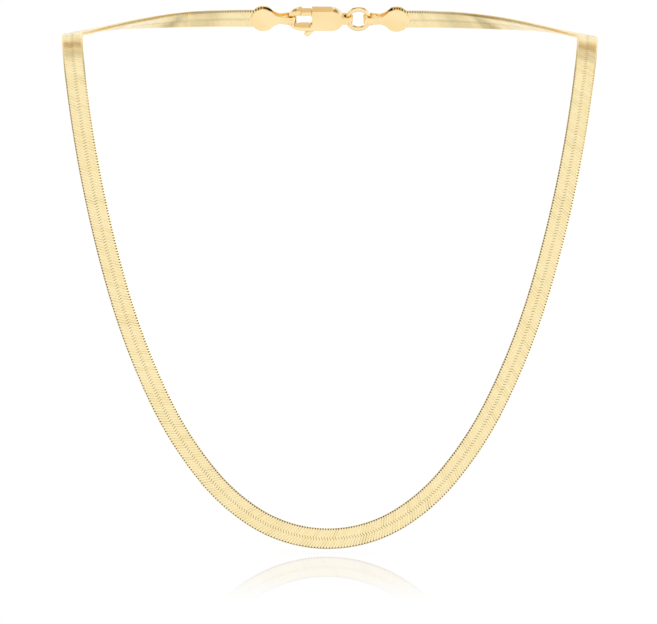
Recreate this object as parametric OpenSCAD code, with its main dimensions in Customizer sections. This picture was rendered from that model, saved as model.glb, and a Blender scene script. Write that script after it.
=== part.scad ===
// Herringbone chain: a flat gold neck chain, closed at the nape with a lobster clasp.
// The whole loop is drawn as it is worn. Millimetres, +Z up, the front drop faces -Y.
// The origin lies on the skin at the middle of the nape, under the clasp.

/* [Chain] */
// whole length of the closed chain
loop_l = 457; // [440:1:560]
// width of the flat band
band_w = 4; // [3.4:0.1:5]
// thickness of the flat band
band_t = 0.9; // [0.7:0.05:1.1]

/* [Nape] */
// angle by which the band leans back from upright at the nape
nape_lean = 30; // [15:1:45]

/* [End caps] */
// how far the cap's disc stands out past the band's edge
cap_rim = 0.55; // [0.3:0.05:0.8]
// thickness of the folded sheet
sheet_t = 0.35; // [0.25:0.01:0.38]
// width of the strap between disc and loop
strap_w = 1.6; // [1.2:0.1:1.7]
// distance from the disc's centre to the loop's centre
cap_reach = 5.6; // [5.4:0.1:7]
// inner radius of the strap's loop
loop_r = 1; // [0.96:0.01:1.1]
// from the crease, where the two sheets part, to the loop's centre
crease_l = 2.1; // [1.8:0.1:2.3]
// how far the band reaches past the disc's centre inside the cap
grip_l = 0.8; // [0:0.1:1]

/* [Clasp] */
// overall height of the clasp's body
clasp_h = 4.5; // [4.2:0.1:5]
// thickness of the clasp's body
clasp_t = 2.4; // [2.3:0.1:2.8]
// from the hook's bar to the eye
clasp_reach = 11.8; // [11.4:0.1:13]
// width of the hook's bar
bar_w = 1.05; // [0.9:0.05:1.1]
// thickness of the hook's bar
bar_t = 1.4; // [1.1:0.1:1.4]
// length of the opening inside the hook
mouth_l = 4; // [3.9:0.1:4.2]
// height of the opening inside the hook
mouth_h = 2.65; // [2.4:0.05:2.7]
// corner radius of the opening
mouth_r = 0.7; // [0.4:0.05:0.9]
// height of the opening's upper edge above the clasp's middle
mouth_top = 1.15; // [1:0.05:1.2]
// length of the hook's end over the opening
hook_l = 1.65; // [1.5:0.05:1.8]
// length of the body behind the opening that has the full height
block_l = 4; // [3.6:0.1:4.2]
// from the bar's edge to the ramp that thickens the body
ramp_start = 0.2; // [0.1:0.05:0.3]
// length of that ramp
ramp_l = 1.6; // [1.4:0.1:1.8]
// rounding of the bar's nose
nose_r = 0.35; // [0.2:0.05:0.45]
// width of the eye and of the neck before it
eye_w = 1.5; // [1.2:0.1:1.6]
// radius of the eye's hole
eye_r = 0.75; // [0.72:0.01:0.82]
// length of the neck between the body's round shoulders and the eye's hole
neck_l = 0.25; // [0.1:0.05:0.4]

/* [Lever] */
// from the opening's end back to the pin
pivot_back = 0.9; // [0.85:0.05:1.1]
// height of the pin above the clasp's middle
pivot_up = 0.2; // [0:0.05:0.3]
// thickness of the gate
gate_t = 1.9; // [1.4:0.1:2]
// height of the gate
gate_h = 0.85; // [0.7:0.05:0.9]
// thickness of the lever's plate inside the body
plate_t = 0.8; // [0.6:0.05:0.9]
// radius of the lever's hub
hub_r = 0.8; // [0.7:0.05:0.85]
// width of the lever's leg
leg_w = 0.75; // [0.5:0.05:0.8]
// how far the thumb tab stands out below the body
tab_drop = 1.65; // [1.4:0.05:2]
// radius of the thumb tab's round end
tab_r = 0.55; // [0.4:0.05:0.65]
// thickness of the thumb tab
tab_t = 1.2; // [1:0.1:1.6]
// how far the thumb tab's round end lies forward of the pin
tab_lean = 1.95; // [1.6:0.05:2.1]
// angle of the thumb tab's slant
tab_slant = 50; // [40:1:60]
// radius of the hidden pin
pin_r = 0.35; // [0.25:0.01:0.4]
// metal left over each end of the pin
pin_cover = 0.25; // [0.2:0.01:0.35]
// length of the slot in front of and behind the pin
slot_fore = 1.25; // [1.2:0.05:1.3]
slot_aft = 1.5; // [1.4:0.05:1.7]
// metal left over the slot on the gate's side
slot_cover = 0.3; // [0.2:0.05:0.4]

/* [Jump ring] */
// diameter of the ring along the middle of its wire
ring_d = 4.6; // [3.8:0.1:5]
// width of the ring's wire, seen from the front
wire_w = 0.8; // [0.6:0.01:0.85]
// depth of the ring's wire
wire_t = 1.1; // [0.9:0.05:1.1]

/* [Clearances] */
// gap between the band and the caps' sheets
grip_gap = 0.05; // [0.03:0.01:0.1]
// gap between the gate's tip and the hook
gate_gap = 0.1; // [0.06:0.01:0.15]
// gap beside the lever's plate in its slot
slot_gap = 0.1; // [0.06:0.01:0.15]
// gap between the body's underside and the thick part of the thumb tab
tab_gap = 0.35; // [0.3:0.05:0.5]
// running gap around the pin in the lever
pin_gap = 0.05; // [0.03:0.01:0.08]
// gap around the pin's ends in the body
seat_gap = 0.02; // [0.01:0.01:0.03]

/* [Hidden] */
$fn = 64;
eps = 0.01;
gold = [0.93, 0.78, 0.46];
gold_shade = [0.83, 0.65, 0.33];

// radius of the drop's curve at its lowest point
front_r = 26;
// The drop at the front, from its lowest point up one side, as arcs in one upright plane.
// columns: turn in degrees, radius as a share of front_r
ARC_TURN = 0;
ARC_SHARE = 1;
front_arcs = [
    [32, 1],
    [18, 1.42],
    [14, 2.7],
    [10, 5.2],
    [8, 9.6]
];
// radius of the bend that takes the band backwards over the side of the neck
shoulder_r = 14;
// how far the nape lies behind the end of that bend
nape_back = 72;
// how far the nape lies above it
nape_rise = 3.5;
// half of the straight stretch at the nape, which holds the clasp
nape_run = 17.5;
// lengths of the curve's handles at the shoulder and at the nape
shoulder_pull = 36;
nape_pull = 25;

// stations along the route
arc_step = 2.6;
shoulder_steps = 9;
side_steps = 34;
run_steps = 3;
// points of a rounded edge of the band's section
edge_points = 5;

// places along the clasp, measured from the middle of the hook's bar
cap_r = band_w / 2 + cap_rim;
ring_c = clasp_reach + ring_d / 2;
far_loop = clasp_reach + ring_d;
group_l = far_loop + 2 * cap_reach;
mouth_back = bar_w / 2 + mouth_l;
block_end = mouth_back + block_l;
mouth_low = mouth_top - mouth_h;
pivot = [mouth_back + pivot_back, pivot_up];
gate_top = mouth_top + gate_h;
gate_mid = mouth_top + gate_h / 2;
gate_len = norm([pivot[0] - bar_w / 2 - hook_l, gate_mid - pivot[1]]);
slot_w = plate_t + 2 * slot_gap;
pin_l = clasp_t - 2 * pin_cover - 2 * seat_gap;
tab_c = [pivot[0] - tab_lean, tab_r - clasp_h / 2 - tab_drop];
lift = max(clasp_t / 2, loop_r + sheet_t);

// Small vector tools
function unit(v) = v / norm(v);
function mix(a, b, t) = a + (b - a) * t;
function square_to(v, axis) = unit(v - axis * (v * axis));
function mirrored(v) = [-v[0], v[1], v[2]];

// Start point and heading of every arc of the drop, as [x, z, heading]
arc_starts = [
    for (
        i = 0, x = 0, z = 0, a = 0;
        i <= len(front_arcs);
        x = x + (i < len(front_arcs) ? arc_dx(i, a, front_arcs[i][ARC_TURN]) : 0),
        z = z + (i < len(front_arcs) ? arc_dz(i, a, front_arcs[i][ARC_TURN]) : 0),
        a = a + (i < len(front_arcs) ? front_arcs[i][ARC_TURN] : 0),
        i = i + 1
    ) [x, z, a]
];
function arc_r(i) = front_r * front_arcs[i][ARC_SHARE];
function arc_dx(i, a, turn) = arc_r(i) * (sin(a + turn) - sin(a));
function arc_dz(i, a, turn) = arc_r(i) * (cos(a) - cos(a + turn));
function arc_l(i) = arc_r(i) * front_arcs[i][ARC_TURN] * PI / 180;

// A station is [place, direction along the band, outward face]
function arc_station(i, t) =
    let (s = arc_starts[i], turn = front_arcs[i][ARC_TURN] * t, h = s[2] + turn)
    [
        [s[0] + arc_dx(i, s[2], turn), 0, s[1] + arc_dz(i, s[2], turn)],
        [cos(h), 0, sin(h)],
        [0, -1, 0]
    ];

arc_end = arc_starts[len(front_arcs)];
top_place = [arc_end[0], 0, arc_end[1]];
top_dir = [cos(arc_end[2]), 0, sin(arc_end[2])];

function shoulder_station(t) =
    let (a = 90 * t)
    [
        top_place + shoulder_r * (sin(a) * top_dir + (1 - cos(a)) * [0, 1, 0]),
        cos(a) * top_dir + sin(a) * [0, 1, 0],
        sin(a) * top_dir - cos(a) * [0, 1, 0]
    ];

// From the shoulder a free curve runs round the side of the neck to the nape
side_start = shoulder_station(1)[0];
side_end = [nape_run, side_start[1] + nape_back, side_start[2] + nape_rise];
side_knots = [
    side_start,
    side_start + [0, shoulder_pull, 0],
    side_end + [nape_pull, 0, 0],
    side_end
];
nape_face = [0, cos(nape_lean), sin(nape_lean)];

function side_place(t) =
    pow(1 - t, 3) * side_knots[0] + 3 * t * pow(1 - t, 2) * side_knots[1]
    + 3 * t * t * (1 - t) * side_knots[2] + pow(t, 3) * side_knots[3];
function side_dir(t) = unit(
    pow(1 - t, 2) * (side_knots[1] - side_knots[0])
    + 2 * t * (1 - t) * (side_knots[2] - side_knots[1])
    + t * t * (side_knots[3] - side_knots[2])
);
function side_station(t) =
    [side_place(t), side_dir(t), square_to(mix(top_dir, nape_face, t), side_dir(t))];
function run_station(t) = [side_end - [nape_run * t, 0, 0], [-1, 0, 0], nape_face];

function total(v, i = 0) = i < len(v) ? v[i] + total(v, i + 1) : 0;
side_l = total([
    for (i = [1:side_steps])
        norm(side_place(i / side_steps) - side_place((i - 1) / side_steps))
]);
drop_l = total([for (i = [0:len(front_arcs) - 1]) arc_l(i)]);
half_l = drop_l + shoulder_r * PI / 2 + side_l + nape_run;

// The drawn route is scaled to the wanted length, and the nape is brought to the origin
route_k = loop_l / (2 * half_l);
nape_mid = run_station(1)[0];
function placed(s) = [(s[0] - nape_mid) * route_k + nape_face * lift, s[1], s[2]];

// share of the straight stretch that the band covers before it ends inside the cap
band_end = group_l / 2 - grip_l;
run_share = 1 - band_end / (nape_run * route_k);

half_route = [
    for (i = [0:len(front_arcs) - 1])
        let (n = ceil(arc_l(i) / arc_step))
        for (j = [0:n - 1]) placed(arc_station(i, j / n)),
    for (j = [0:shoulder_steps - 1]) placed(shoulder_station(j / shoulder_steps)),
    for (j = [0:side_steps - 1]) placed(side_station(j / side_steps)),
    for (j = [0:run_steps]) placed(run_station(run_share * j / run_steps))
];
last = len(half_route) - 1;
route = [
    for (i = [last:-1:1])
        [mirrored(half_route[i][0]), -mirrored(half_route[i][1]), mirrored(half_route[i][2])],
    for (s = half_route) s
];

// Section of the band: flat faces and round edges, as [across, outward]
edge_r = band_t / 2;
band_section = [
    for (side = [1, -1])
        for (k = [0:edge_points])
            let (a = 90 - 180 * k / edge_points)
            side * [band_w / 2 - edge_r + edge_r * cos(a), edge_r * sin(a)]
];

function ring_points(s) =
    let (across = cross(s[1], s[2]))
    [for (p = band_section) s[0] + across * p[0] + s[2] * p[1]];

module chain_band() {
    n = len(band_section);
    m = len(route);
    points = [for (s = route) each ring_points(s)];
    faces = [
        [for (k = [0:n - 1]) k],
        for (i = [0:m - 2])
            for (k = [0:n - 1])
                each [
                    [i * n + k, (i + 1) * n + k, i * n + (k + 1) % n],
                    [(i + 1) * n + k, (i + 1) * n + (k + 1) % n, i * n + (k + 1) % n]
                ],
        [for (k = [n - 1:-1:0]) (m - 1) * n + k]
    ];
    color(gold)
        polyhedron(points = points, faces = faces, convexity = 12);
}

// The clasp group is drawn flat: +X runs from the hook to the ring, +Y is the gate's side,
// +Z is the face towards the skin, and the middle of the hook's bar is at 0.
module at_nape() {
    translate(nape_face * lift)
        rotate([90 + nape_lean, 0, 0])
            translate([cap_reach - group_l / 2, 0, 0])
                children();
}

// Dumbbell-shaped block, disc at the origin, strap along +X and round fillets between them
module cap_block() {
    block_h = 4 * loop_r;
    fillet_r = cap_r;
    fillet_y = strap_w / 2 + fillet_r;
    fillet_x = sqrt(pow(cap_r + fillet_r, 2) - pow(fillet_y, 2));
    difference() {
        linear_extrude(block_h, center = true)
            union() {
                circle(r = cap_r);
                polygon([
                    [0, -fillet_y / 2],
                    [fillet_x / 2, -fillet_y / 2],
                    [fillet_x, -strap_w / 2],
                    [cap_reach + loop_r + 2 * sheet_t, -strap_w / 2],
                    [cap_reach + loop_r + 2 * sheet_t, strap_w / 2],
                    [fillet_x, strap_w / 2],
                    [fillet_x / 2, fillet_y / 2],
                    [0, fillet_y / 2]
                ]);
            }
        for (side = [1, -1])
            translate([fillet_x, side * fillet_y, 0])
                cylinder(r = fillet_r, h = 2 * block_h, center = true);
    }
}

// Side view of the folded sheet: flat over the disc, then widening to the loop's circle
module cap_side(inner_t, bend_x, loop) {
    touch_r = loop - eps;
    slant_d = norm([cap_reach - bend_x, inner_t]);
    slant_a = 180 - atan2(inner_t, cap_reach - bend_x) - acos(touch_r / slant_d);
    touch = [cap_reach + touch_r * cos(slant_a), touch_r * sin(slant_a)];
    polygon([
        [-2 * cap_r, -inner_t],
        [bend_x, -inner_t],
        [touch[0], -touch[1]],
        touch,
        [bend_x, inner_t],
        [-2 * cap_r, inner_t]
    ]);
    translate([cap_reach, 0])
        circle(r = loop);
}

module end_cap() {
    inner = band_t / 2 + grip_gap;
    crease = cap_reach - crease_l;
    difference() {
        intersection() {
            cap_block();
            rotate([90, 0, 0])
                linear_extrude(4 * cap_r, center = true)
                    cap_side(inner + sheet_t, crease, loop_r + sheet_t);
        }
        rotate([90, 0, 0])
            linear_extrude(5 * cap_r, center = true)
                cap_side(inner, crease, loop_r);
    }
}

module hook_end_cap() {
    color(gold)
        at_nape()
            translate([-cap_reach, 0, 0])
                end_cap();
}

module ring_end_cap() {
    color(gold)
        at_nape()
            translate([far_loop + cap_reach, 0, 0])
                rotate([0, 0, 180])
                    end_cap();
}

module rounded_window(x0, x1, y0, y1, r) {
    translate([x0 + r, y0])
        square([x1 - x0 - 2 * r, y1 - y0]);
    translate([x0, y0 + r])
        square([x1 - x0, y1 - y0 - 2 * r]);
    for (x = [x0 + r, x1 - r])
        for (y = [y0 + r, y1 - r])
            translate([x, y])
                circle(r = r);
}

// Front view of the body: round hook end, straight block, round shoulders and neck
module body_outline() {
    end_x = (clasp_h - bar_w) / 2;
    shoulder_l = clasp_reach - eye_r - neck_l - block_end;
    fall = (clasp_h - eye_w) / 2;
    round_r = (shoulder_l * shoulder_l + fall * fall) / (2 * fall);
    translate([end_x, 0])
        circle(r = clasp_h / 2);
    translate([end_x, -clasp_h / 2])
        square([block_end - end_x, clasp_h]);
    intersection() {
        translate([block_end, round_r - clasp_h / 2])
            circle(r = round_r);
        translate([block_end, clasp_h / 2 - round_r])
            circle(r = round_r);
        translate([block_end - eps, -clasp_h / 2])
            square([shoulder_l + eps, clasp_h]);
    }
    translate([block_end, -eye_w / 2])
        square([clasp_reach - block_end, eye_w]);
}

// Side view of the body: thin bar, full block and the round eye
module body_side() {
    thick = clasp_t / 2;
    thin = bar_t / 2;
    slope_x = bar_w / 2 + ramp_start;
    polygon([
        [nose_r - bar_w / 2, -thin],
        [slope_x, -thin],
        [slope_x + ramp_l, -thick],
        [clasp_reach, -thick],
        [clasp_reach, thick],
        [slope_x + ramp_l, thick],
        [slope_x, thin],
        [nose_r - bar_w / 2, thin]
    ]);
    translate([-bar_w / 2, nose_r - thin])
        square([2 * nose_r, 2 * (thin - nose_r)]);
    for (side = [1, -1])
        translate([nose_r - bar_w / 2, side * (thin - nose_r)])
            circle(r = nose_r);
    translate([clasp_reach, 0])
        circle(r = thick);
}

module clasp_body() {
    color(gold)
        at_nape()
            difference() {
                intersection() {
                    linear_extrude(2 * clasp_t, center = true)
                        union() {
                            body_outline();
                            translate([clasp_reach - eps, -eye_w / 2])
                                square([clasp_t, eye_w]);
                        }
                    rotate([90, 0, 0])
                        linear_extrude(2 * clasp_h, center = true)
                            body_side();
                }
                linear_extrude(2 * clasp_t, center = true)
                    rounded_window(bar_w / 2, mouth_back, mouth_low, mouth_top, mouth_r);
                gate_notch();
                lever_slot();
                translate([pivot[0], pivot[1], 0])
                    cylinder(r = pin_r + seat_gap, h = clasp_t - 2 * pin_cover, center = true);
                rotate([90, 0, 0])
                    translate([clasp_reach, 0, 0])
                        cylinder(r = eye_r, h = 2 * clasp_h, center = true);
            }
}

// Cut for the gate: an arc round the pin, open to the outside
module gate_notch() {
    linear_extrude(2 * clasp_t, center = true)
        intersection() {
            translate(pivot)
                circle(r = gate_len + gate_gap);
            translate([0, mouth_top - mouth_r])
                square([mouth_back, clasp_h]);
        }
}

// Slot for the lever's plate, open to the opening and below for the thumb tab
module lever_slot() {
    translate([pivot[0] - slot_fore, -clasp_h, -slot_w / 2])
        cube([slot_fore + slot_aft, 1.5 * clasp_h - slot_cover, slot_w]);
}

module clasp_lever() {
    color(gold_shade)
        at_nape()
            difference() {
                union() {
                    linear_extrude(plate_t, center = true)
                        lever_plate();
                    linear_extrude(gate_t, center = true)
                        gate_outline();
                    thumb_tab();
                }
                translate([pivot[0], pivot[1], 0])
                    cylinder(r = pin_r + pin_gap, h = 2 * clasp_t, center = true);
            }
}

module gate_outline() {
    intersection() {
        translate([0, gate_top - gate_h])
            square([mouth_back - gate_gap, gate_h]);
        translate(pivot)
            circle(r = gate_len);
    }
}

// Two points across the widest line of the thumb tab's round end
tab_side = tab_r * [cos(tab_slant), -sin(tab_slant)];

// Hub, arm to the gate and leg to the thumb tab
module lever_plate() {
    arm_x = mouth_back - hub_r / 2;
    translate(pivot)
        circle(r = hub_r);
    polygon([
        [arm_x, mouth_top],
        pivot - [hub_r, 0],
        pivot - [0, hub_r],
        pivot + [hub_r, 0],
        [pivot[0], gate_top - gate_gap],
        [arm_x, gate_top - gate_gap]
    ]);
    polygon([
        pivot + [leg_w / 2, 0],
        pivot - [leg_w / 2, 0],
        [pivot[0] - leg_w, -clasp_h / 2],
        tab_c - tab_side,
        tab_c + tab_side,
        [pivot[0], -clasp_h / 2]
    ]);
}

// Drop-shaped paddle, thicker than the plate, whose point leans back to the slot
module thumb_tab() {
    root = [pivot[0] - leg_w, -clasp_h / 2 - tab_gap];
    linear_extrude(tab_t, center = true) {
        translate(tab_c)
            circle(r = tab_r);
        polygon([
            tab_c + tab_side,
            root + [leg_w / 3, 0],
            root - [leg_w / 3, 0],
            tab_c - tab_side
        ]);
    }
}

module clasp_pin() {
    color(gold_shade)
        at_nape()
            translate([pivot[0], pivot[1], 0])
                cylinder(r = pin_r, h = pin_l, center = true);
}

module jump_ring() {
    corner_r = 0.3;
    color(gold)
        at_nape()
            translate([ring_c, 0, 0])
                rotate_extrude()
                    translate([ring_d / 2, 0])
                        rounded_window(
                            -wire_w / 2, wire_w / 2, -wire_t / 2, wire_t / 2, corner_r
                        );
}

chain_band();
hook_end_cap();
ring_end_cap();
clasp_body();
clasp_lever();
clasp_pin();
jump_ring();
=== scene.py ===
import math

import bmesh
import bpy
import numpy as np
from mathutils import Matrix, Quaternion, Vector


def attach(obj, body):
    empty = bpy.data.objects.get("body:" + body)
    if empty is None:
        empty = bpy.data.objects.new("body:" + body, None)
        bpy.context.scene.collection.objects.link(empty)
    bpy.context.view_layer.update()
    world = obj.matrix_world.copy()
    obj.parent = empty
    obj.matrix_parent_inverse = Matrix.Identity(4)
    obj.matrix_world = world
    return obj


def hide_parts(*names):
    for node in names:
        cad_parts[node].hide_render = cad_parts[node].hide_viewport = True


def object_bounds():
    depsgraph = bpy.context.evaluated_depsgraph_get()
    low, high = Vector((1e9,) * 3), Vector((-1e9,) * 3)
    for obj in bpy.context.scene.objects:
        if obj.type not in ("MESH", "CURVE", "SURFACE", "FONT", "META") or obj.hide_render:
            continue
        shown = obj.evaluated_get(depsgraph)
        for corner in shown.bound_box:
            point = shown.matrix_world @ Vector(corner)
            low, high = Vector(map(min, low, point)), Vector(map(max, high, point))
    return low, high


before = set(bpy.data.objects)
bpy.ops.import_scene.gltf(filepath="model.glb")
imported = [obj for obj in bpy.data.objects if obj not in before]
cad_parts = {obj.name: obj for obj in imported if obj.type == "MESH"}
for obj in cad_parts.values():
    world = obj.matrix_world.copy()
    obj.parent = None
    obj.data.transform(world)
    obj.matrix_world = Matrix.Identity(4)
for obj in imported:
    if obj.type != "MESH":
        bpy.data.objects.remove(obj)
cad_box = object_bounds()

# The chain is measured in millimetres, and a finished mesh is in metres
MM = 0.001

# The loop as it is worn, as in the part's source
LOOP_LENGTH = 457.0
BAND_WIDTH = 4.0
BAND_THICK = 0.9
NAPE_LEAN = math.radians(30)
FRONT_RADIUS = 26.0
SHOULDER_RADIUS = 14.0
NAPE_BACK = 72.0
NAPE_RISE = 3.5
NAPE_RUN = 17.5
SHOULDER_PULL = 36.0
NAPE_PULL = 25.0
# Turn in degrees of each arc of the front drop, and its radius as a share of the front radius
DROP_ARCS = ((32, 1.0), (18, 1.42), (14, 2.7), (10, 5.2), (8, 9.6))
# The way along the side of the neck is measured in this many straight pieces
SIDE_CHORDS = 34
# The clasp, the ring and two caps stand between the band's ends
CAP_REACH = 5.6
CLASP_REACH = 11.8
RING_MEAN = 4.6
GRIP = 0.8
NAPE_LIFT = 1.35
BAND_GAP = 2 * CAP_REACH + CLASP_REACH + RING_MEAN - 2 * GRIP

# The weave: a link crosses one row, turns back over the narrow middle and crosses the other row
PITCH = 0.535
ROW_SLANT = math.radians(60)
CENTRE_SLANT = math.radians(120)
CENTRE_HALF = 0.2
CENTRE_SHIFT = CENTRE_HALF / math.tan(CENTRE_SLANT)
# Out to here a link lies a little narrower about the middle
ROW_START = 0.4
# From here out to the band's edge a link is narrower and no longer slants
ROW_END = 1.62
EDGE_SHIFT = CENTRE_SHIFT + (ROW_END - CENTRE_HALF) / math.tan(ROW_SLANT)
ZIGZAG = (
    (-ROW_END, -CENTRE_HALF, CENTRE_HALF, ROW_END),
    (-EDGE_SHIFT, -CENTRE_SHIFT, CENTRE_SHIFT, EDGE_SHIFT),
)
LINK_CUTS = (-ROW_END, -ROW_START, -CENTRE_HALF, CENTRE_HALF, ROW_START, ROW_END)
WIRE_THICK = 0.2
WIRE_ROUND = 0.006
EDGE_ROUND = 0.24
EDGE_STEPS = 1
HALF_WIDTH = BAND_WIDTH / 2
FLAT_END = HALF_WIDTH - EDGE_ROUND
# Across the band, and the share of the pitch that a link covers there
WIDTH_PLACES = (-HALF_WIDTH, -FLAT_END, *LINK_CUTS, FLAT_END, HALF_WIDTH)
WIDTH_SHARES = (0.46, 0.50, 0.975, 1.0, 0.865, 0.865, 1.0, 0.975, 0.50, 0.46)
# How many links lie loose on one half of the band, and how much painted shade deepens their tone
LOOSE_SHARE = 0.2
LOOSE_SHADE = 0.2
# How much narrower a loose link is on the mean, and the least and the most of that
LOOSE_GAP = 0.06
LOOSE_LEAST = 0.3
LOOSE_MOST = 1.7
# How single links differ in tone, in width and in tilt
TONE_MEAN = 0.6
TONE_SPREAD = 0.18
WIDTH_SPREAD = 0.006
TILT_SPREAD = math.radians(0.8)
# Share of the opening on the outside of a bend that shows as gaps between the links
FAN_SHARE = 0.45
SEED = 7
# The strip of folded wire inside, painted dark as the shade between the links: how far it stays in from the
# band's edges and ends, and its section
CORE_INSET = 0.06
CORE_END = 0.05
CORE_HALF_THICK = 0.2
CORE_CHAMFER = 0.26
CORE_STEPS = 700

# The photo's width, its middle row and the row of the chain's lowest point, in pixels, and a pixel's size
PHOTO_WIDTH = 657
MIDDLE_ROW = 312
LOWEST_ROW = 549.7
PIXEL = 0.1908
# The camera's place, and how far the table top lies below the chain
CAMERA_DISTANCE = 1000.0
CAMERA_RAISE = math.radians(3)
CAMERA_ROLL = math.radians(0.27)
SENSOR = 36.0
FLOOR_DROP = 0.72

FRONT = np.array([0.0, -1.0, 0.0])
BACK = np.array([0.0, 1.0, 0.0])
NAPE_FACE = np.array([0.0, math.cos(NAPE_LEAN), math.sin(NAPE_LEAN)])


# The route of the band's middle line
def unit(rows):
    return rows / np.linalg.norm(rows, axis=-1, keepdims=True)


def steps(count):
    return np.linspace(0, 1, count, endpoint=False)[:, None]


def front_drop(samples=90):
    """Arcs in one upright plane, from the lowest point up to the side."""
    pieces = []
    corner = np.zeros(3)
    heading = 0.0
    for turn, share in DROP_ARCS:
        radius = FRONT_RADIUS * share
        angle = heading + math.radians(turn) * steps(samples)
        aim = np.hstack([np.cos(angle), 0 * angle, np.sin(angle)])
        centre_side = np.hstack([np.sin(angle), 0 * angle, -np.cos(angle)])
        start_side = np.array([math.sin(heading), 0, -math.cos(heading)])
        pieces.append((corner + radius * (centre_side - start_side), aim, np.tile(FRONT, (samples, 1))))
        heading += math.radians(turn)
        end_side = np.array([math.sin(heading), 0, -math.cos(heading)])
        corner = corner + radius * (end_side - start_side)
    length = sum(FRONT_RADIUS * share * math.radians(turn) for turn, share in DROP_ARCS)
    return pieces, corner, heading, length


def side_curve(knots, t):
    place = (
        (1 - t) ** 3 * knots[0]
        + 3 * t * (1 - t) ** 2 * knots[1]
        + 3 * t * t * (1 - t) * knots[2]
        + t**3 * knots[3]
    )
    aim = (
        (1 - t) ** 2 * (knots[1] - knots[0])
        + 2 * t * (1 - t) * (knots[2] - knots[1])
        + t * t * (knots[3] - knots[2])
    )
    return place, unit(aim)


def half_route():
    """From the lowest point over the shoulder to the middle of the nape: place, aim and face."""
    pieces, top, heading, length = front_drop()
    top_aim = np.array([math.cos(heading), 0, math.sin(heading)])

    angle = math.pi / 2 * steps(120)
    pieces.append((
        top + SHOULDER_RADIUS * (np.sin(angle) * top_aim + (1 - np.cos(angle)) * BACK),
        np.cos(angle) * top_aim + np.sin(angle) * BACK,
        np.sin(angle) * top_aim - np.cos(angle) * BACK,
    ))
    side_start = top + SHOULDER_RADIUS * (top_aim + BACK)
    side_end = np.array([NAPE_RUN, side_start[1] + NAPE_BACK, side_start[2] + NAPE_RISE])
    knots = [
        side_start,
        side_start + SHOULDER_PULL * BACK,
        side_end + np.array([NAPE_PULL, 0, 0]),
        side_end,
    ]
    t = steps(400)
    place, aim = side_curve(knots, t)
    lean = top_aim + (NAPE_FACE - top_aim) * t
    face = unit(lean - aim * np.sum(lean * aim, axis=1, keepdims=True))
    pieces.append((place, aim, face))

    t = np.linspace(0, 1, 30)[:, None]
    nape_mid = side_end - np.array([NAPE_RUN, 0, 0])
    pieces.append((
        side_end + (nape_mid - side_end) * t,
        np.tile([-1.0, 0, 0], (len(t), 1)),
        np.tile(NAPE_FACE, (len(t), 1)),
    ))
    places, aims, faces = (np.vstack(column) for column in zip(*pieces))

    chords, _ = side_curve(knots, np.linspace(0, 1, SIDE_CHORDS + 1)[:, None])
    length += SHOULDER_RADIUS * math.pi / 2 + NAPE_RUN
    length += np.linalg.norm(np.diff(chords, axis=0), axis=1).sum()
    scale = LOOP_LENGTH / (2 * length)
    return (places - nape_mid) * scale + NAPE_FACE * NAPE_LIFT, aims, faces


def whole_route():
    """Both halves as one line, from the hook's side of the nape round to the ring's side."""
    places, aims, faces = half_route()
    mirror = np.array([-1.0, 1.0, 1.0])
    places = np.vstack([(places * mirror)[:0:-1], places])
    aims = np.vstack([(-aims * mirror)[:0:-1], aims])
    faces = np.vstack([(faces * mirror)[:0:-1], faces])
    run = np.concatenate([[0], np.cumsum(np.linalg.norm(np.diff(places, axis=0), axis=1))])
    return run - run[-1] / 2, places, aims, faces


RUN, PLACES, AIMS, FACES = whole_route()
INWARD = np.cross(FACES, AIMS)
BEND = np.sum(np.gradient(AIMS, RUN, axis=0) * INWARD, axis=1)
HALF_BAND = RUN[-1] - BAND_GAP / 2


def along_route(rows, run):
    return np.stack([np.interp(run, RUN, rows[:, axis]) for axis in range(3)], axis=-1)


def on_band(run, across, out):
    """A point measured on the flat band, as a point of the worn one."""
    place = along_route(PLACES, run)
    inward = unit(along_route(INWARD, run))
    face = unit(along_route(FACES, run))
    return place + inward * across[..., None] + face * out[..., None]


# Node finishes
class Shade:
    """A number that changes over a surface, so that finishes read as plain sums."""

    def __init__(self, finish, socket):
        self.finish = finish
        self.socket = socket

    def math(self, operation, *values):
        sockets = dict(enumerate(values))
        return self.finish.add("ShaderNodeMath", {"operation": operation}, sockets)

    def __add__(self, other):
        return self.math("ADD", self, other)

    def __radd__(self, other):
        return self.math("ADD", other, self)

    def __sub__(self, other):
        return self.math("SUBTRACT", self, other)

    def __rsub__(self, other):
        return self.math("SUBTRACT", other, self)

    def __mul__(self, other):
        return self.math("MULTIPLY", self, other)

    def __rmul__(self, other):
        return self.math("MULTIPLY", other, self)

    def __abs__(self):
        return self.math("ABSOLUTE", self)

    def above(self, low, high):
        """0 below low, 1 above high, and a soft step between."""
        settings = {"interpolation_type": "SMOOTHSTEP"}
        sockets = {"Value": self, "From Min": low, "From Max": high}
        return self.finish.add("ShaderNodeMapRange", settings, sockets)


class Finish:
    """One material or world, built node by node."""

    def __init__(self, owner):
        owner.use_nodes = True
        self.tree = owner.node_tree
        self.tree.nodes.clear()

    def add(self, kind, settings=None, sockets=None, output=0):
        node = self.tree.nodes.new(kind)
        for name, value in (settings or {}).items():
            setattr(node, name, value)
        for name, value in (sockets or {}).items():
            if isinstance(value, Shade):
                self.tree.links.new(value.socket, node.inputs[name])
            else:
                node.inputs[name].default_value = value
        return Shade(self, node.outputs[output]) if node.outputs else None

    def mix(self, factor, first, second):
        """Colours blended by a number: first at 0, second at 1."""
        settings = {"data_type": "RGBA"}
        return self.add("ShaderNodeMix", settings, {0: factor, 6: first, 7: second}, output=2)

    def noise(self, place, scale, detail=2.0):
        sockets = {"Vector": place, "Scale": scale, "Detail": detail}
        return self.add("ShaderNodeTexNoise", None, sockets)


def colour(red, green, blue):
    return (red, green, blue, 1.0)


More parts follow.
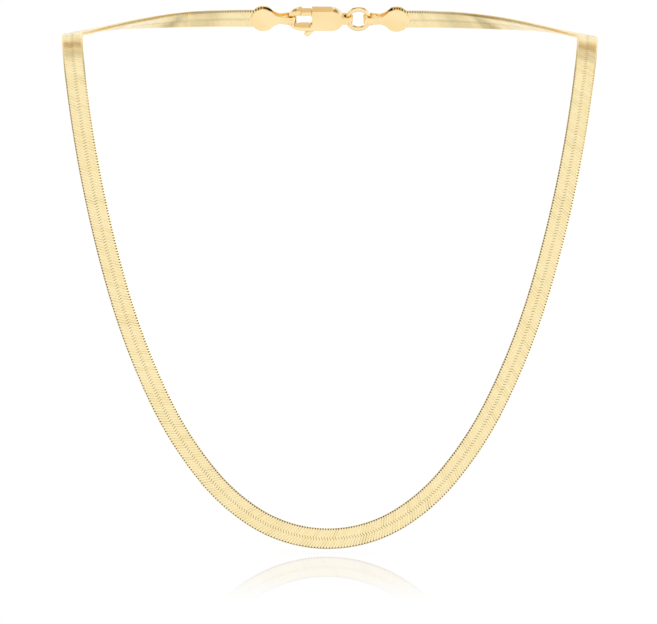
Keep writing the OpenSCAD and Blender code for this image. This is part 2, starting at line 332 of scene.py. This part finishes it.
def band_gold():
    """Polished yellow gold wire: each link has its own slight tone, loose links a deeper one as painted
    shade, and hairlines run along it.
    """
    material = bpy.data.materials.new("band_gold")
    finish = Finish(material)
    tone = finish.add("ShaderNodeAttribute", {"attribute_name": "link_tone"}, None, output="Fac")
    flat = finish.add("ShaderNodeAttribute", {"attribute_name": "band_place"}, None, output="Vector")
    cloud = finish.noise(flat, 0.35)
    drawn = finish.add("ShaderNodeVectorMath", {"operation": "MULTIPLY"}, {0: flat, 1: (9.0, 1.5, 9.0)})
    hairline = finish.noise(drawn, 2.2, 3.0)
    deep = finish.mix(cloud.above(0.3, 0.7), colour(0.92, 0.75, 0.39), colour(0.95, 0.785, 0.435))
    gold = finish.mix(tone, deep, colour(0.965, 0.82, 0.49))
    bump = finish.add(
        "ShaderNodeBump", None, {"Strength": 0.05, "Distance": 0.00002, "Height": hairline}, output="Normal"
    )
    shader = finish.add("ShaderNodeBsdfPrincipled", None, {
        "Base Color": gold,
        "Metallic": 1.0,
        "Roughness": 0.14 + 0.10 * hairline,
        "Normal": bump,
    })
    finish.add("ShaderNodeOutputMaterial", None, {"Surface": shader})
    return material


def shadow_gold():
    """The wire deep between the links, where light hardly reaches and polish never does: its dark, mottled
    colour is painted shade.
    """
    material = bpy.data.materials.new("shadow_gold")
    finish = Finish(material)
    place = finish.add("ShaderNodeTexCoord", None, None, output="Object")
    # Painted shade: noise mottles the dark gold between two shadow tones
    shade_mottle = finish.noise(place, 900.0, 3.0)
    painted_shade = finish.mix(shade_mottle.above(0.35, 0.65), colour(0.14, 0.10, 0.045), colour(0.30, 0.22, 0.10))
    shader = finish.add("ShaderNodeBsdfPrincipled", None, {
        "Base Color": painted_shade,
        "Metallic": 1.0,
        "Roughness": 0.45 + 0.2 * shade_mottle,
    })
    finish.add("ShaderNodeOutputMaterial", None, {"Surface": shader})
    return material


def findings_gold():
    """The clasp, ring and caps: brightly polished, with faint wear in the gloss."""
    material = bpy.data.materials.new("findings_gold")
    finish = Finish(material)
    place = finish.add("ShaderNodeTexCoord", None, None, output="Object")
    cloud = finish.noise(place, 210.0, 0.0)
    wear = finish.noise(place, 2600.0, 4.0)
    bump = finish.add(
        "ShaderNodeBump", None, {"Strength": 1.0, "Distance": 0.00016, "Height": cloud}, output="Normal"
    )
    gold = finish.mix(cloud.above(0.3, 0.7), colour(0.93, 0.72, 0.37), colour(0.97, 0.77, 0.43))
    shader = finish.add("ShaderNodeBsdfPrincipled", None, {
        "Base Color": gold,
        "Metallic": 1.0,
        "Roughness": 0.07 + 0.08 * wear.above(0.4, 0.75),
        "Normal": bump,
    })
    finish.add("ShaderNodeOutputMaterial", None, {"Surface": shader})
    return material


# The links
def draw_out(mesh, rim, shift):
    """Draws the wire's end on in a straight line."""
    edges = [part for part in rim if isinstance(part, bmesh.types.BMEdge)]
    rim = bmesh.ops.extrude_edge_only(mesh, edges=edges)["geom"]
    ends = [part for part in rim if isinstance(part, bmesh.types.BMVert)]
    bmesh.ops.translate(mesh, verts=ends, vec=shift)
    return [part for part in rim if not isinstance(part, bmesh.types.BMFace)]


def bend_down(mesh, rim, centre):
    """Bends the wire's end a quarter turn round the band's edge."""
    return bmesh.ops.spin(
        mesh, geom=rim, cent=centre, axis=(1, 0, 0), dvec=(0, 0, 0), angle=-math.pi / 2, steps=EDGE_STEPS
    )["geom_last"]


def wire_link():
    """One link before it is slanted: a closed loop of flat wire round the whole band, front and back."""
    mesh = bmesh.new()
    half_pitch = PITCH / 2
    flat = half_pitch - WIRE_ROUND
    outline = ((-half_pitch, -WIRE_THICK), (-flat, 0), (flat, 0), (half_pitch, -WIRE_THICK))
    section = [mesh.verts.new((along, 0, out)) for along, out in outline]
    for here, there in zip(section, section[1:] + section[:1]):
        mesh.edges.new((here, there))
    depth = BAND_THICK / 2 - EDGE_ROUND
    bmesh.ops.translate(mesh, verts=mesh.verts, vec=(0, -FLAT_END, BAND_THICK / 2))

    stops = WIDTH_PLACES[1:-1]
    rim = mesh.verts[:] + mesh.edges[:]
    for side in (1, -1):
        for here, there in zip(stops, stops[1:]):
            rim = draw_out(mesh, rim, (0, side * (there - here), 0))
        rim = bend_down(mesh, rim, (0, side * FLAT_END, side * depth))
        rim = draw_out(mesh, rim, (0, 0, -2 * side * depth))
        rim = bend_down(mesh, rim, (0, side * FLAT_END, -side * depth))
    bmesh.ops.remove_doubles(mesh, verts=mesh.verts, dist=0.001)
    bmesh.ops.recalc_face_normals(mesh, faces=mesh.faces)
    points = np.array([vertex.co for vertex in mesh.verts])
    faces = np.array([[vertex.index for vertex in face.verts] for face in mesh.faces])
    mesh.free()
    return points, faces


def lay_links(name, first, last, count, material):
    """Lays the link over and over along one stretch of the band, as one mesh."""
    points, faces = wire_link()
    pitch = 2 * HALF_BAND / count
    number = np.arange(first, last)
    chance = np.random.default_rng(SEED + first)
    loose = chance.random((2, len(number), 1)) < LOOSE_SHARE
    # A loose link gets a deeper tone as painted shade
    tone = chance.normal(TONE_MEAN, TONE_SPREAD, len(number)) - LOOSE_SHADE * loose.sum(axis=(0, 2))
    gaps = LOOSE_GAP * loose * chance.uniform(LOOSE_LEAST, LOOSE_MOST, loose.shape)
    halves = 1 - gaps + chance.normal(0, WIDTH_SPREAD, loose.shape)
    half = np.interp(points[:, 1], (-CENTRE_HALF, CENTRE_HALF), (0, 1))
    sizing = halves[0] * (1 - half) + halves[1] * half
    tilt = chance.normal(0, TILT_SPREAD, (len(number), 1))

    across = np.broadcast_to(points[:, 1], (len(number), len(points)))
    width = points[:, 0] * np.interp(points[:, 1], WIDTH_PLACES, WIDTH_SHARES) * pitch / PITCH
    zigzag = np.interp(points[:, 1], *ZIGZAG)
    run = ((number + 0.5) * pitch - HALF_BAND)[:, None] + zigzag
    stretch = 1 - across * np.interp(run, RUN, BEND)
    width = sizing * width / (1 + FAN_SHARE * np.maximum(stretch - 1, 0))
    out = points[:, 2] + np.sin(tilt) * width
    run = np.clip(run + width, -HALF_BAND, HALF_BAND)
    places = on_band(run, across, out) * MM

    all_faces = (faces + len(points) * np.arange(len(number))[:, None, None]).reshape(-1, faces.shape[1])
    mesh = bpy.data.meshes.new(name)
    mesh.from_pydata(places.reshape(-1, 3).tolist(), [], all_faces.tolist())
    mesh.attributes.new("link_tone", "FLOAT", "POINT").data.foreach_set(
        "value", np.repeat(np.clip(tone, 0, 1), len(points)).astype(np.float32)
    )
    flat = np.stack([run, across, out], axis=-1)
    mesh.attributes.new("band_place", "FLOAT_VECTOR", "POINT").data.foreach_set(
        "vector", flat.ravel().astype(np.float32)
    )
    mesh.shade_smooth()
    mesh.set_sharp_from_angle(angle=math.radians(40))
    return add_piece(name, mesh, material)


def add_piece(name, mesh, material):
    piece = bpy.data.objects.new(name, mesh)
    bpy.context.scene.collection.objects.link(piece)
    mesh.materials.append(material)
    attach(piece, "chain")
    return piece


def band_core(material):
    """The wire folded away inside the band, as one strip whose dark finish is painted shade, seen only
    between the links.
    """
    side = HALF_WIDTH - CORE_INSET
    flat = side - CORE_CHAMFER
    start = -HALF_BAND + CORE_END
    outline = (
        (-flat, -CORE_HALF_THICK), (flat, -CORE_HALF_THICK), (side, 0),
        (flat, CORE_HALF_THICK), (-flat, CORE_HALF_THICK), (-side, 0),
    )
    mesh = bmesh.new()
    mesh.faces.new([mesh.verts.new((start, across, out)) for across, out in outline])
    bmesh.ops.spin(
        mesh, geom=mesh.verts[:] + mesh.edges[:], cent=(0, 0, 0), axis=(1, 0, 0),
        dvec=(-2 * start / CORE_STEPS, 0, 0), angle=0.0, steps=CORE_STEPS
    )
    rim = [edge for edge in mesh.edges if edge.is_boundary]
    bmesh.ops.holes_fill(mesh, edges=rim, sides=len(outline))
    bmesh.ops.recalc_face_normals(mesh, faces=mesh.faces)
    points = np.array([vertex.co for vertex in mesh.verts])
    places = on_band(points[:, 0], points[:, 1], points[:, 2]) * MM
    for vertex, place in zip(mesh.verts, places):
        vertex.co = place
    core = bpy.data.meshes.new("band_core")
    mesh.to_mesh(core)
    mesh.free()
    return add_piece("band_core", core, material)


gold = band_gold()
link_count = round(2 * HALF_BAND / PITCH)
band_pieces = (
    lay_links("band_hook_half", 0, link_count // 2, link_count, gold),
    lay_links("band_ring_half", link_count // 2, link_count, link_count, gold),
    band_core(shadow_gold()),
)
for piece in band_pieces:
    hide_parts("chain_band")

# The clasp, its lever and pin, the ring and the caps keep their solids, with edges rounded by wear
findings = findings_gold()
worn_edges = {
    "hook_end_cap": 0.07, "ring_end_cap": 0.07, "clasp_body": 0.07,
    "clasp_lever": 0.07, "clasp_pin": 0.03, "jump_ring": 0.07,
}
for name, worn in worn_edges.items():
    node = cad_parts[name]
    node.data.materials.clear()
    node.data.materials.append(findings)
    weld = node.modifiers.new("weld", "WELD")
    weld.merge_threshold = 0.02 * MM
    bevel = node.modifiers.new("worn_edges", "BEVEL")
    bevel.width = worn * MM
    bevel.use_clamp_overlap = False
    bevel.miter_outer = "MITER_ARC"
    bevel.segments = 3
    bevel.limit_method = "ANGLE"
    bevel.angle_limit = math.radians(35)
    bevel.harden_normals = True


# The studio
def between(value, low, high, soft):
    """1 from low to high, with soft ends."""
    return value.above(low - soft, low + soft) * (1 - value.above(high - soft, high + soft))


def sine(degrees):
    """How high an elevation lies on the world's sphere, from -1 to 1."""
    return math.sin(math.radians(degrees))


def studio_world():
    """White to the eye. The metal's gloss also sees warm, dark and bright cards in it."""
    world = bpy.data.worlds.new("studio")
    finish = Finish(world)
    way = finish.add("ShaderNodeTexCoord", None, None, output="Generated")
    split = finish.add("ShaderNodeSeparateXYZ", None, {0: way})
    east = Shade(finish, split.socket.node.outputs["X"])
    north = Shade(finish, split.socket.node.outputs["Y"])
    up = Shade(finish, split.socket.node.outputs["Z"])
    # Bearing 0 lies behind the chain and a quarter turn lies to its right
    bearing = east.math("ARCTAN2", east, north)
    turn = abs(bearing)
    level = between(up, -0.4, 0.5, 0.12)

    # Dark: low down at the back, all the ground but at the front, to the left, and high up on both sides
    low = between(up, sine(-84), sine(-44), 0.05) * (1 - turn.above(math.radians(30), math.radians(60)))
    ground = (1 - up.above(sine(-80), sine(-48))) * (1 - turn.above(math.radians(110), math.radians(150)))
    left = between(bearing, math.radians(-116), math.radians(-74), 0.12) * level
    sides = between(turn, math.radians(62), math.radians(118), 0.3) * up.above(0.2, 0.6)
    dark = low * 0.75
    for card in (left * 0.42, sides * 0.35, ground * 0.3):
        dark = dark.math("MAXIMUM", dark, card)
    bright = finish.mix(dark, colour(1.05, 1.05, 1.05), colour(0.16, 0.11, 0.06))

    # A warm card high up at the back, a dark one at each end of it, and a bright one to the right
    warm = between(up, sine(54), sine(72), 0.1) * (1 - turn.above(math.radians(60), math.radians(85)))
    ends = between(turn, math.radians(24), math.radians(52), 0.15) * between(up, 0.62, 0.93, 0.08)
    right = between(bearing, math.radians(66), math.radians(116), 0.12) * level
    bright = finish.mix(warm * 0.8, bright, colour(0.74, 0.53, 0.27))
    bright = finish.mix(ends * 0.75, bright, colour(0.16, 0.10, 0.045))
    bright = finish.mix(right, bright, colour(1.6, 1.57, 1.5))

    mirrored = finish.add("ShaderNodeLightPath", None, None, output="Is Glossy Ray")
    shown = finish.mix(mirrored, colour(1.03, 1.03, 1.03), bright)
    background = finish.add("ShaderNodeBackground", None, {"Color": shown, "Strength": 1.0})
    finish.add("ShaderNodeOutputWorld", None, {"Surface": background})
    bpy.context.scene.world = world


def studio_floor(level):
    """A wide white table top, faintly mirroring under the chain and matt towards the camera."""
    matt_until = -178.0
    mirror_from = -115.0
    mirror_share = 0.28
    mesh = bmesh.new()
    bmesh.ops.create_grid(mesh, x_segments=1, y_segments=1, size=3.0)
    bmesh.ops.translate(mesh, verts=mesh.verts, vec=(0, 0, level))
    data = bpy.data.meshes.new("floor")
    mesh.to_mesh(data)
    mesh.free()
    floor = bpy.data.objects.new("floor", data)
    bpy.context.scene.collection.objects.link(floor)
    material = bpy.data.materials.new("floor_white")
    finish = Finish(material)
    place = finish.add("ShaderNodeTexCoord", None, None, output="Object")
    grain = finish.noise(place, 40.0)
    split = finish.add("ShaderNodeSeparateXYZ", None, {0: place})
    north = Shade(finish, split.socket.node.outputs["Y"])
    sheen = mirror_share * north.above(matt_until * MM, mirror_from * MM)
    matt = finish.add("ShaderNodeBsdfDiffuse", None, {
        "Color": finish.mix(grain, colour(0.97, 0.97, 0.97), colour(1.0, 1.0, 1.0)),
    })
    glow = finish.add("ShaderNodeEmission", None, {"Color": colour(1.0, 1.0, 1.0), "Strength": 1.0})
    bright = finish.add("ShaderNodeMixShader", None, {0: 0.75, 1: matt, 2: glow})
    gloss = finish.add("ShaderNodeBsdfGlossy", None, {"Color": colour(1, 1, 1), "Roughness": 0.03})
    both = finish.add("ShaderNodeMixShader", None, {0: sheen, 1: bright, 2: gloss})
    finish.add("ShaderNodeOutputMaterial", None, {"Surface": both})
    data.materials.append(material)
    floor.visible_glossy = False


def photo_camera():
    """Looks straight at the front drop from a long way off, a little raised."""
    lowest = cad_box[0][2] / MM
    front = cad_box[0][1] / MM
    rise = (LOWEST_ROW - MIDDLE_ROW) * PIXEL / math.cos(CAMERA_RAISE)
    aim = Vector((0, front, lowest + rise))
    back = Vector((0, -math.cos(CAMERA_RAISE), math.sin(CAMERA_RAISE)))
    data = bpy.data.cameras.new("photo_camera")
    data.sensor_fit = "HORIZONTAL"
    data.sensor_width = SENSOR
    data.lens = SENSOR * CAMERA_DISTANCE / (PHOTO_WIDTH * PIXEL)
    data.clip_start = 0.01
    camera = bpy.data.objects.new("photo_camera", data)
    bpy.context.scene.collection.objects.link(camera)
    camera.location = (aim + back * CAMERA_DISTANCE) * MM
    camera.rotation_euler = (back.to_track_quat("Z", "Y") @ Quaternion((0, 0, 1), CAMERA_ROLL)).to_euler()
    bpy.context.scene.camera = camera


studio_world()
studio_floor(cad_box[0][2] - FLOOR_DROP * MM)
photo_camera()
bpy.context.scene.view_settings.view_transform = "Standard"
